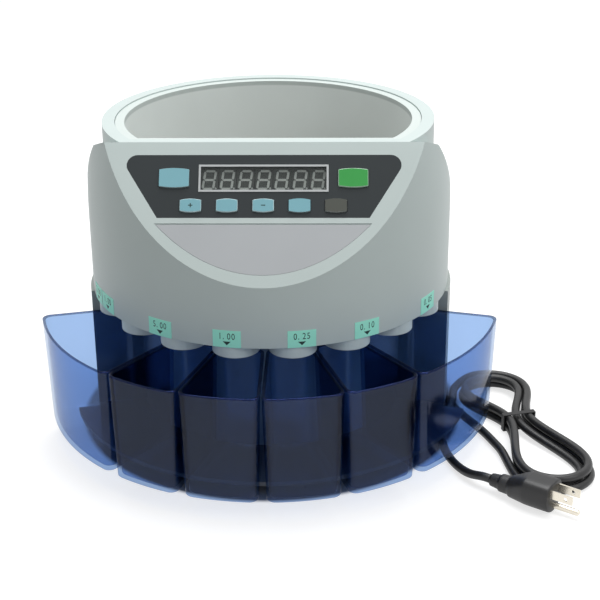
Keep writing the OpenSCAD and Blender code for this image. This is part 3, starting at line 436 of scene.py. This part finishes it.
def box_outline(middle, half, inset, front, r_out):
    """Round a coin box at one height: arcs at its four corners and the wide arc in front."""
    bow = r_out - front
    centre = np.array([bow * math.sin(middle), -bow * math.cos(middle)])
    r = BOX_CORNER_R
    reach = inset / math.cos(half)
    near = np.array([BOX_BACK * math.tan(half) - reach, BOX_BACK + inset])
    way = unit(np.array([BOX_FAR * math.tan(half) - reach, BOX_FAR]) - near)
    turns, hubs = [], []
    for side in (1, -1):
        base = (near + r * np.array([-way[1], way[0]])) * (side, 1)
        step = way * (side, 1)
        back = base + step * (BOX_BACK + inset + r - base[1]) / step[1]
        off = base - centre
        along = off @ step
        fore = base + step * (-along + math.sqrt(along**2 - off @ off + (r_out - r)**2))
        arm = fore - centre
        turns.append(math.atan2(arm[1], arm[0]))
        hubs.append((back, fore))
    side_turn = math.atan2(-way[0], way[1])
    corner = np.linspace(0, 1, CORNER_POINTS)
    arc = np.linspace(turns[0], turns[1], FRONT_POINTS)[1:-1]

    def curve(hub, radius, a):
        return hub + radius * np.stack([np.cos(a), np.sin(a)], -1)

    quarter = math.pi / 2
    parts = [
        curve(hubs[0][0], r, -quarter + (side_turn + quarter) * corner),
        curve(hubs[0][1], r, side_turn + (turns[0] - side_turn) * corner),
        curve(centre, r_out, arc),
        curve(hubs[1][1], r, turns[1] + (math.pi - side_turn - turns[1]) * corner),
        curve(hubs[1][0], r, math.pi - side_turn + (side_turn + quarter) * corner),
    ]
    support = np.array([[SIDE_HOLD], [1 - SIDE_HOLD]])
    for at, (one, other) in ((4, (parts[3][-1], parts[4][0])), (1, (parts[0][-1], parts[1][0]))):
        parts.insert(at, one + (other - one) * support)
    last, first = parts[-1][-1], parts[0][0]
    parts.append(last + (first - last) * support)
    s, w = np.vstack(parts)[::-1].T
    return s * math.cos(middle) + w * math.sin(middle), s * math.sin(middle) - w * math.cos(middle) + AXIS_Y


def gate_mark(middle):
    """Low round pip on a box's front, where its mould was filled: its rise times 1 - (r / its radius)^2."""
    z = BOX_Z + GATE_UP
    down = (BOX_H - GATE_UP) / BOX_H
    r_out = BOX_TOP_R - (BOX_TOP_R - BOX_BOTTOM_R) * down
    bow = r_out - BOX_REACH
    reach = -bow * math.cos(middle) + math.sqrt(r_out**2 - (bow * math.sin(middle))**2)
    v = round_angles(GATE_SIDES)
    spread = np.array(GATE_RINGS)[:, None]
    out = reach - GATE_SINK + GATE_RISE * (1 - (spread / GATE_RINGS[0])**2)
    across = spread * np.cos(v)
    x = out * math.sin(middle) + across * math.cos(middle)
    y = AXIS_Y - out * math.cos(middle) + across * math.sin(middle)
    rings = np.stack([x, y, z + spread * np.sin(v)], -1)
    return rings, grid_faces(len(spread), GATE_SIDES) + end_caps(len(spread), GATE_SIDES)[1:]


def make_box(number, middle, half):
    """A coin box lofted from outlines: outer wall, rounded rim, inner wall and floor."""
    a = np.linspace(0, math.pi / 2, ROUND_POINTS)
    rim = np.linspace(0, math.pi, RIM_POINTS)
    top, floor = BOX_Z + BOX_H, BOX_Z + BOX_WALL
    half_wall = BOX_WALL / 2
    profile = np.vstack([
        [(BOX_ROUND + FLAT_REACH, BOX_Z)],
        np.stack([BOX_ROUND * (1 - np.sin(a)), BOX_Z + BOX_ROUND * (1 - np.cos(a))], -1),
        [(0, BOX_Z + FOOT_HOLD), (0, BOX_Z + BOX_H / 2), (0, top - TOP_HOLD)],
        np.stack([half_wall * (1 - np.cos(rim)), top - half_wall + half_wall * np.sin(rim)], -1),
        [(BOX_WALL, top - TOP_HOLD), (BOX_WALL, BOX_Z + BOX_H / 2), (BOX_WALL, floor + FOOT_HOLD)],
        np.stack([BOX_WALL + BOX_ROUND * (1 - np.cos(a)), floor + BOX_ROUND * (1 - np.sin(a))], -1),
        [(BOX_WALL + BOX_ROUND + FLAT_REACH, floor)],
    ])
    rows = []
    for t, z in profile:
        down = (top - z) / BOX_H
        r_out = BOX_TOP_R - t - (BOX_TOP_R - BOX_BOTTOM_R) * down
        x, y = box_outline(middle, half, t + BOX_GAP + BOX_DRAFT * down, BOX_REACH - t, r_out)
        rows.append(np.stack([x, y, np.full_like(x, z)], -1))
    count, around = len(rows), len(rows[0])
    points = np.array(rows).reshape(-1, 3)
    pip, pip_faces = gate_mark(middle)
    faces = grid_faces(count, around) + end_caps(count, around)
    faces += [[k + len(points) for k in face] for face in pip_faces]
    piece = add_mesh(f"coin_box_{number}_clear", np.vstack([points, pip.reshape(-1, 3)]), faces)
    node = f"coin_box_{number}"
    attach(piece, frame["nodes"][node]["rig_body"])
    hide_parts(node)


def make_boxes():
    """Four boxes of one outlet between two double ones, numbered from the left."""
    middles = [-END_BOX_MIDDLE, -1.5 * BOX_PITCH, -0.5 * BOX_PITCH, 0.5 * BOX_PITCH, 1.5 * BOX_PITCH, END_BOX_MIDDLE]
    for number, middle in enumerate(middles, 1):
        half = END_BOX_HALF if number in (1, 6) else BOX_PITCH / 2
        make_box(number, math.radians(middle), math.radians(half))


def figure_shapes(characters):
    """Flat outline of each character, filled, 1 high and narrowed, centred across and stood on 0."""
    shapes = {}
    for character in characters:
        curve = bpy.data.curves.new("figure", "FONT")
        curve.body = character
        curve.resolution_u = 4
        holder = bpy.data.objects.new("figure", curve)
        bpy.context.scene.collection.objects.link(holder)
        mesh = bpy.data.meshes.new_from_object(holder.evaluated_get(bpy.context.evaluated_depsgraph_get()))
        points = np.array([v.co[:2] for v in mesh.vertices])
        faces = [list(f.vertices) for f in mesh.polygons]
        points[:, 0] -= (points[:, 0].min() + points[:, 0].max()) / 2
        shapes[character] = (points * (FIGURE_NARROW, 1) / FIGURE_CAP, faces)
        bpy.data.objects.remove(holder)
        bpy.data.curves.remove(curve)
        bpy.data.meshes.remove(mesh)
    return shapes


def make_label_figures():
    """Dark figures over a triangle on each outlet label, wrapped round the drum."""
    shapes = figure_shapes("0125.")
    triangle = (np.array(LABEL_TRIANGLE), [(0, 1, 2)])
    points, faces = [], []
    for azimuth, text in LABEL_FIGURES:
        marks = [triangle]
        for i, character in enumerate(text):
            flat, fill = shapes[character]
            across = (i - 1.5) * FIGURE_PITCH - (POINT_SHIFT if character == "." else 0)
            marks.append((flat * FIGURE_H + (across, FIGURE_UP), fill))
        for flat, fill in marks:
            start = len(points)
            a = math.radians(azimuth) + flat[:, 0] / LABEL_R
            r = LABEL_R + INK_LIFT
            points += np.stack([r * np.sin(a), AXIS_Y - r * np.cos(a), HEAD_Z + flat[:, 1]], -1).tolist()
            faces += [[start + k for k in face] for face in fill]
    piece = add_mesh("label_figures", points, faces, smooth=False)
    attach(piece, "machine")


def make_key_signs():
    """Plus and minus strips on the two counting keys."""
    flat_bar, upright = (SIGN_LONG, SIGN_THIN), (SIGN_THIN, SIGN_LONG)
    bar = np.array([(-1, -1), (1, -1), (1, 1), (-1, 1)], float)
    for name, node, place, bars in (
        ("plus_sign", "key_plus", -2, [flat_bar, upright]), ("minus_sign", "key_minus", 0, [flat_bar]),
    ):
        points, faces = [], []
        for number, size in enumerate(bars):
            flat = bar * size + (place * SMALL_KEY_PITCH, SMALL_KEY_Y)
            points += on_panel(flat[:, 0], flat[:, 1], KEY_TOP + SIGN_STEP * (number + 1)).tolist()
            faces.append([number * 4 + k for k in range(4)])
        piece = add_mesh(name, points, faces, smooth=False)
        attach(piece, frame["nodes"][node]["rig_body"])


def make_digit_points():
    """Round decimal point at the foot of each digit."""
    sides = POINT_SIDES
    v = round_angles(sides)
    points, faces = [], []
    for i in range(-3, 4):
        start = len(points)
        x = i * DIGIT_PITCH + POINT_ACROSS + POINT_R * np.cos(v)
        y = WINDOW_MIDDLE - POINT_DOWN + POINT_R * np.sin(v)
        points += on_panel(x, y, DIGIT_FACE + POINT_RISE).tolist()
        points += on_panel(x, y, DIGIT_FACE - POINT_SINK).tolist()
        faces.append(list(range(start, start + sides)))
        faces += [[start + k, start + sides + k, start + sides + (k + 1) % sides, start + (k + 1) % sides]
                  for k in range(sides)]
    piece = add_mesh("digit_points", points, faces, smooth=False)
    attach(piece, "machine")


# Shader values and materials
class Wire:
    """One shader value: arithmetic on wires adds the Math nodes that work it out."""

    def __init__(self, shading, socket):
        self.shading = shading
        self.socket = socket

    def _math(self, operation, *values):
        return self.shading.node("ShaderNodeMath", {"operation": operation}, dict(enumerate(values)))

    def __add__(self, other):
        return self._math("ADD", self, other)

    def __sub__(self, other):
        return self._math("SUBTRACT", self, other)

    def __rsub__(self, other):
        return self._math("SUBTRACT", other, self)

    def __mul__(self, other):
        return self._math("MULTIPLY", self, other)

    def __pow__(self, other):
        return self._math("POWER", self, other)

    def clip(self):
        return self.shading.node("ShaderNodeClamp", {}, {0: self})

    __radd__ = __add__
    __rmul__ = __mul__


class Shading:
    """A node tree in the making."""

    def __init__(self, tree):
        self.tree = tree

    def feed(self, socket, value):
        """Gives a socket a value, or a link from a wire."""
        if isinstance(value, Wire):
            self.tree.links.new(value.socket, socket)
        elif isinstance(value, (tuple, list)) and socket.type == "RGBA":
            socket.default_value = (*value[:3], 1)
        else:
            socket.default_value = value

    def node(self, kind, settings=None, inputs=None, output=0):
        """Wire from a new node, its settings made first and its sockets fed after."""
        made = self.tree.nodes.new(kind)
        for key, value in (settings or {}).items():
            setattr(made, key, value)
        for key, value in (inputs or {}).items():
            self.feed(made.inputs[key], value)
        return Wire(self, made.outputs[output])

    def seen(self):
        """1 for rays that the camera, a mirror or a clear wall sends, 0 for those that light a surface."""
        camera, mirror, clear_wall = (self.node("ShaderNodeLightPath", output=kind) for kind in
                                      ("Is Camera Ray", "Is Glossy Ray", "Is Transmission Ray"))
        return (camera + mirror + clear_wall).clip()


class Finish(Shading):
    """A material in the making: a Principled shader, its plain values, and the nodes that vary them."""

    def __init__(self, name, values):
        self.material = bpy.data.materials.new(name)
        self.material.use_nodes = True
        super().__init__(self.material.node_tree)
        self.shader = self.tree.nodes["Principled BSDF"]
        for key, value in values.items():
            self.put(key, value)

    def put(self, socket, value):
        self.feed(self.shader.inputs[socket], value)

    def place(self, source="Object"):
        return self.node("ShaderNodeTexCoord", output=source)

    def axis(self, place, output):
        return self.node("ShaderNodeSeparateXYZ", {}, {0: place}, output)

    def noise(self, place, size, detail, roughness=0.5):
        """Cloudy value about 0.5, its spots about size across, in metres."""
        return self.node("ShaderNodeTexNoise", {}, {"Vector": place, "Scale": 1 / size, "Detail": detail,
                                                    "Roughness": roughness})

    def mix(self, share, low, high):
        return self.node("ShaderNodeMix", {"data_type": "RGBA"}, {0: share, 6: low, 7: high}, 2)

    def bump(self, height, distance, strength):
        """Normal of a surface raised by height times distance, in metres."""
        return self.node("ShaderNodeBump", {}, {"Height": height, "Distance": distance, "Strength": strength})


def shade(colour, factor):
    """A colour made lighter or darker by a factor."""
    return tuple(min(1.0, c * factor) for c in colour)


def srgb(code):
    """Linear colour of a six-figure sRGB code."""
    values = [int(code[i:i + 2], 16) / 255 for i in (0, 2, 4)]
    return tuple(c / 12.92 if c <= 0.04045 else ((c + 0.055) / 1.055)**2.4 for c in values)


def moulded(name, colour, roughness=0.42, specular=0.4):
    """Moulded plastic: a fine even grain, faint clouds of tone and of gloss."""
    finish = Finish(name, {"Specular IOR Level": specular})
    place = finish.place()
    fine = finish.noise(place, size=GRAIN, detail=2)
    wide = finish.noise(place, size=0.06, detail=3)
    finish.put("Base Color", finish.mix(wide, shade(colour, 1 - CLOUD), shade(colour, 1 + CLOUD)))
    finish.put("Roughness", (roughness - 0.06 + 0.08 * wide + 0.06 * fine).clip())
    finish.put("Normal", finish.bump(fine, distance=GRAIN_DEPTH, strength=0.6))
    return finish.material


def key_plastic(name, colour):
    """Key plastic, paler where the key's top turns over into its sides: a painted highlight along the key's edges."""
    finish = Finish(name, {"Specular IOR Level": 0.4})
    place = finish.place()
    fine = finish.noise(place, size=GRAIN, detail=2)
    wide = finish.noise(place, size=0.03, detail=3)
    faces = finish.place("Normal")
    level = finish.axis(faces, 1) * -math.sin(PANEL_TILT) + finish.axis(faces, 2) * math.cos(PANEL_TILT)
    # Painted highlight: paler where the face turns away from the panel's plane, along the key's edges
    painted_highlight = ((KEY_FLAT - level) * KEY_HIGHLIGHT_RISE).clip()
    flat = finish.mix(wide, shade(colour, 1 - CLOUD), shade(colour, 1 + CLOUD))
    finish.put("Base Color", finish.mix(painted_highlight * KEY_HIGHLIGHT_SHARE, flat, srgb("dfe9e8")))
    finish.put("Roughness", (0.24 + 0.08 * wide + 0.06 * fine).clip())
    finish.put("Normal", finish.bump(fine, distance=GRAIN_DEPTH, strength=0.6))
    return finish.material


def bowl_plastic(name):
    """The bowl's plastic: paler inside than on its flange, painted light standing in for light that reaches into the
    bowl.
    """
    finish = Finish(name, {"Specular IOR Level": 0.4})
    place = finish.place()
    fine = finish.noise(place, size=GRAIN, detail=2)
    wide = finish.noise(place, size=0.06, detail=3)
    # Painted light: below the flange the inside is painted paler than the flange
    flange = ((finish.axis(place, 2) - FLANGE_Z) * FLANGE_RISE).clip()
    painted_light_inside = finish.mix(wide, srgb("e4ece9"), srgb("eef6f3"))
    finish.put("Base Color", finish.mix(flange, painted_light_inside, srgb("c6d0cd")))
    finish.put("Roughness", (0.34 + 0.08 * wide + 0.05 * fine).clip())
    finish.put("Normal", finish.bump(fine, distance=GRAIN_DEPTH, strength=0.5))
    return finish.material


def metal(name, colour, roughness=0.3, brushed=(1, 1, 1)):
    """Bare metal, its brush streaks across the axis that brushed stretches."""
    finish = Finish(name, {"Metallic": 1.0})
    place = finish.node("ShaderNodeMapping", {}, {"Vector": finish.place(), "Scale": brushed})
    lines = finish.noise(place, size=0.0012, detail=4, roughness=0.7)
    wide = finish.noise(finish.place(), size=0.04, detail=2)
    finish.put("Base Color", finish.mix(lines, shade(colour, 1 - STREAK), shade(colour, 1 + STREAK)))
    finish.put("Roughness", (roughness - 0.1 + 0.12 * lines + 0.1 * wide).clip())
    finish.put("Normal", finish.bump(lines, distance=GRAIN_DEPTH, strength=0.4))
    return finish.material


def soft_vinyl(name, colour, roughness=0.42):
    """Cord and plug vinyl: nearly smooth, with dull and handled patches."""
    finish = Finish(name, {"Specular IOR Level": 0.5})
    place = finish.place()
    wide = finish.noise(place, size=0.02, detail=3)
    fine = finish.noise(place, size=0.0009, detail=2)
    finish.put("Base Color", finish.mix(wide, shade(colour, 0.8), shade(colour, 1.25)))
    finish.put("Roughness", (roughness - 0.12 + 0.24 * wide).clip())
    finish.put("Normal", finish.bump(fine + wide * 3, distance=0.00003, strength=0.5))
    return finish.material


def see_through(finish, clear, share):
    """Puts a clear film of the colour clear under the shader, the film taking what share leaves."""
    film = finish.node("ShaderNodeBsdfTransparent", {}, {0: clear})
    skin = Wire(finish, finish.shader.outputs[0])
    both = finish.node("ShaderNodeMixShader", {}, {0: share.clip(), 1: film, 2: skin})
    finish.feed(finish.tree.nodes["Material Output"].inputs[0], both)
    return finish.material


def mirror_share(finish):
    """Share of a clear face that its dim mirror-like skin takes, from either side.

    It is SKIN_SHARE looking straight on and rises with (1 - |cos|)^5 to 1 along the face.
    """
    facing = finish.node("ShaderNodeLayerWeight", {}, {"Blend": 0.5}, "Facing")
    return SKIN_SHARE + (1 - SKIN_SHARE) * facing**5.0


def box_plastic(name, colour, clear):
    """Clear tinted moulding under a mirror-like skin, dark along its rim, where a band of painted shade makes it
    greyer and less clear.
    """
    finish = Finish(name, {"Metallic": 1.0})
    place = finish.place()
    wide = finish.noise(place, size=0.05, detail=2)
    # Painted shade: a dark grey, less clear band along the top of the rim
    rim = ((finish.axis(place, 2) - (BOX_Z + BOX_H - RIM_SHADE_BAND)) * RIM_SHADE_RISE).clip()
    finish.put("Base Color", finish.mix(rim, (0.175, 0.19, 0.24), colour))
    finish.put("Roughness", 0.06 + 0.1 * wide)
    finish.put("Normal", finish.bump(wide, distance=0.0006, strength=0.2))
    return see_through(finish, clear, mirror_share(finish) + rim * RIM_SHADE_SHARE)


def smoked_window(name):
    """Dark clear pane with a glossy face."""
    finish = Finish(name, {"Base Color": (0.2, 0.21, 0.21), "Metallic": 1.0})
    wide = finish.noise(finish.place(), size=0.03, detail=2)
    finish.put("Roughness", 0.1 + 0.1 * wide)
    return see_through(finish, (0.87, 0.89, 0.88), mirror_share(finish))


def digit_faces(name):
    """Dark digit block whose raised segments are pale."""
    finish = Finish(name, {"Roughness": 0.5})
    place = finish.place()
    out_y, out_z = -math.sin(PANEL_TILT), math.cos(PANEL_TILT)
    level = out_y * (AXIS_Y - PANEL_FRONT) + out_z * RIM_Z + DIGIT_FACE + SEGMENT_LIFT
    out = finish.axis(place, 1) * out_y + finish.axis(place, 2) * out_z
    raised = ((out - level) * SEGMENT_RISE).clip()
    cloud = finish.noise(place, size=0.012, detail=2)
    block = finish.mix(cloud, (0.035, 0.038, 0.037), (0.055, 0.06, 0.058))
    pale = finish.mix(cloud, (0.6, 0.6, 0.59), (0.85, 0.85, 0.84))
    finish.put("Base Color", finish.mix(raised, block, pale))
    return finish.material


def dress(name, material):
    """Gives a piece, or the finished piece that stands in for the node of that name, its material."""
    stand_ins = [n for n in (name + "_finished", name + "_clear") if n in bpy.data.objects]
    for each in stand_ins or [name]:
        piece = bpy.data.objects[each]
        piece.data.materials.clear()
        piece.data.materials.append(material)


# Floor, light and background
def make_floor():
    """White sheet, bright to the eye everywhere but under the machine, where only the lamps reach."""
    corners = [(-1, -1, 0), (1, -1, 0), (1, 1, 0), (-1, 1, 0)]
    floor = add_mesh("floor", np.array(corners) * FLOOR_HALF, [(0, 1, 2, 3)])
    finish = Finish("floor_white", {"Base Color": (FLOOR_WHITE,) * 3, "Roughness": 0.6, "Specular IOR Level": 0.2,
                                    "Emission Strength": FLOOR_GLOW})
    place = finish.place()
    x, y = finish.axis(place, 0), finish.axis(place, 1) - FLOOR_MIDDLE_Y
    clear_of = (((x * x + y * y)**0.5 - FLOOR_DARK_R) * FLOOR_RISE).clip()
    share = clear_of * finish.seen()
    finish.put("Emission Color", finish.node("ShaderNodeCombineXYZ", {}, {0: share, 1: share, 2: share}))
    floor.data.materials.append(finish.material)


def make_light():
    """Even white world, full strength to the eye and less to surfaces, and three square lamps."""
    world = bpy.data.worlds.new("studio")
    bpy.context.scene.world = world
    world.use_nodes = True
    sky = Shading(world.node_tree)
    colour, strength = sky.tree.nodes["Background"].inputs[:2]
    sky.feed(colour, (1, 1, 1))
    sky.feed(strength, WORLD_LIGHT + (WORLD_SEEN - WORLD_LIGHT) * sky.seen())
    for name, at, size, power in LAMPS:
        data = bpy.data.lights.new(name, "AREA")
        data.size = size
        data.energy = power
        lamp = bpy.data.objects.new(name, data)
        lamp.location = at
        lamp.visible_glossy = name != "fill"  # or the boxes mirror it
        lamp.rotation_euler = (LAMP_TARGET - lamp.location).to_track_quat("-Z", "Y").to_euler()
        bpy.context.scene.collection.objects.link(lamp)


def dress_frame():
    """Gives every node and piece its finish."""
    head = moulded("head_grey", srgb("bfcbc9"))
    casing = moulded("casing_grey", srgb("a9b1ae"))
    black = moulded("black_plastic", (0.012, 0.012, 0.013), roughness=0.5)
    steel = metal("brushed_steel", (0.62, 0.63, 0.64), brushed=(1, 12, 1))
    turned = metal("turned_aluminium", (0.6, 0.61, 0.62), roughness=0.35)
    rubber = soft_vinyl("rubber", (0.02, 0.02, 0.02), 0.7)
    vinyl = soft_vinyl("cord_vinyl", (0.011, 0.011, 0.012))
    plate = metal("plated_brass", (0.75, 0.7, 0.6), roughness=0.22, brushed=(12, 1, 1))
    board = moulded("solder_mask", (0.01, 0.07, 0.03), roughness=0.35)
    painted = moulded("painted_steel", (0.09, 0.095, 0.1), roughness=0.4)
    blue = box_plastic("box_blue", (0.012, 0.018, 0.06), (0.615, 0.74, 0.925))
    ink = moulded("label_ink", (0.008, 0.03, 0.022), roughness=0.5)
    looks = {
        head: ["head_shell"],
        casing: ["lower_casing"],
        moulded("spout_grey", srgb("d0dcda")): ["spout_ring"],
        bowl_plastic("bowl_grey"): ["hopper_bowl"],
        moulded("insert_grey", srgb("b2b6b9"), roughness=0.35): ["panel_insert"],
        moulded("overlay_film", srgb("33383a"), roughness=0.4, specular=0.2): ["keypad_overlay"],
        smoked_window("window_smoke"): ["display_window"],
        digit_faces("digit_block"): ["digit_modules"],
        moulded("digit_pale", (0.72, 0.72, 0.71)): ["digit_points"],
        ink: ["label_figures", "plus_sign", "minus_sign"],
        key_plastic("key_blue", srgb("7db0bb")): ["key_report", "key_plus", "key_batch", "key_minus", "key_set"],
        key_plastic("key_green", srgb("379a48")): ["key_start"],
        key_plastic("key_grey", srgb("4b4e48")): ["key_clear"],
        moulded("label_mint", srgb("a8fae3"), roughness=0.5): ["outlet_labels"],
        moulded("disc_pad", (0.1, 0.04, 0.02), roughness=0.7): ["disc_pad"],
        moulded("switch_red", (0.35, 0.01, 0.01), roughness=0.3): ["switch_rocker"],
        moulded("dark_plastic", (0.03, 0.032, 0.034), roughness=0.55): ["rear_cover"],
        moulded("plate_grey", (0.1, 0.105, 0.11), roughness=0.5): ["base_plate"],
        black: ["key_switches", "coin_sensors", "disc_pulley", "motor_pulley", "fuse_holder", "switch_body",
                "cord_gland", "cord_tie"],
        moulded("bezel_silver", srgb("b9bdbe"), roughness=0.3): ["display_bezel"],
        steel: ["sorting_deck", "sorting_rail", "spindle_bearings", "spreader_cap", "spindle",
                "motor_bracket", "motor_shaft", "casing_screws", "cover_screws"],
        metal("anodised_disc", (0.11, 0.112, 0.116), roughness=0.45): ["sorting_disc"],
        turned: ["bearing_housing"],
        rubber: ["rubber_feet", "drive_belt"],
        painted: ["motor", "transformer"],
        board: ["display_board", "main_board"],
        vinyl: ["mains_lead", "plug_moulding"],
        plate: ["plug_blades", "plug_ground_pin"],
        blue: ["coin_box_1", "coin_box_2", "coin_box_3", "coin_box_4", "coin_box_5", "coin_box_6"],
    }
    for material, names in looks.items():
        for name in names:
            dress(name, material)


make_camera()
make_plug()
make_cord()
make_boxes()
for node, width in ROUNDED.items():
    round_edges(node, width)
make_label_figures()
make_key_signs()
make_digit_points()
dress_frame()
make_floor()
make_light()
bpy.context.scene.view_settings.view_transform = "Standard"
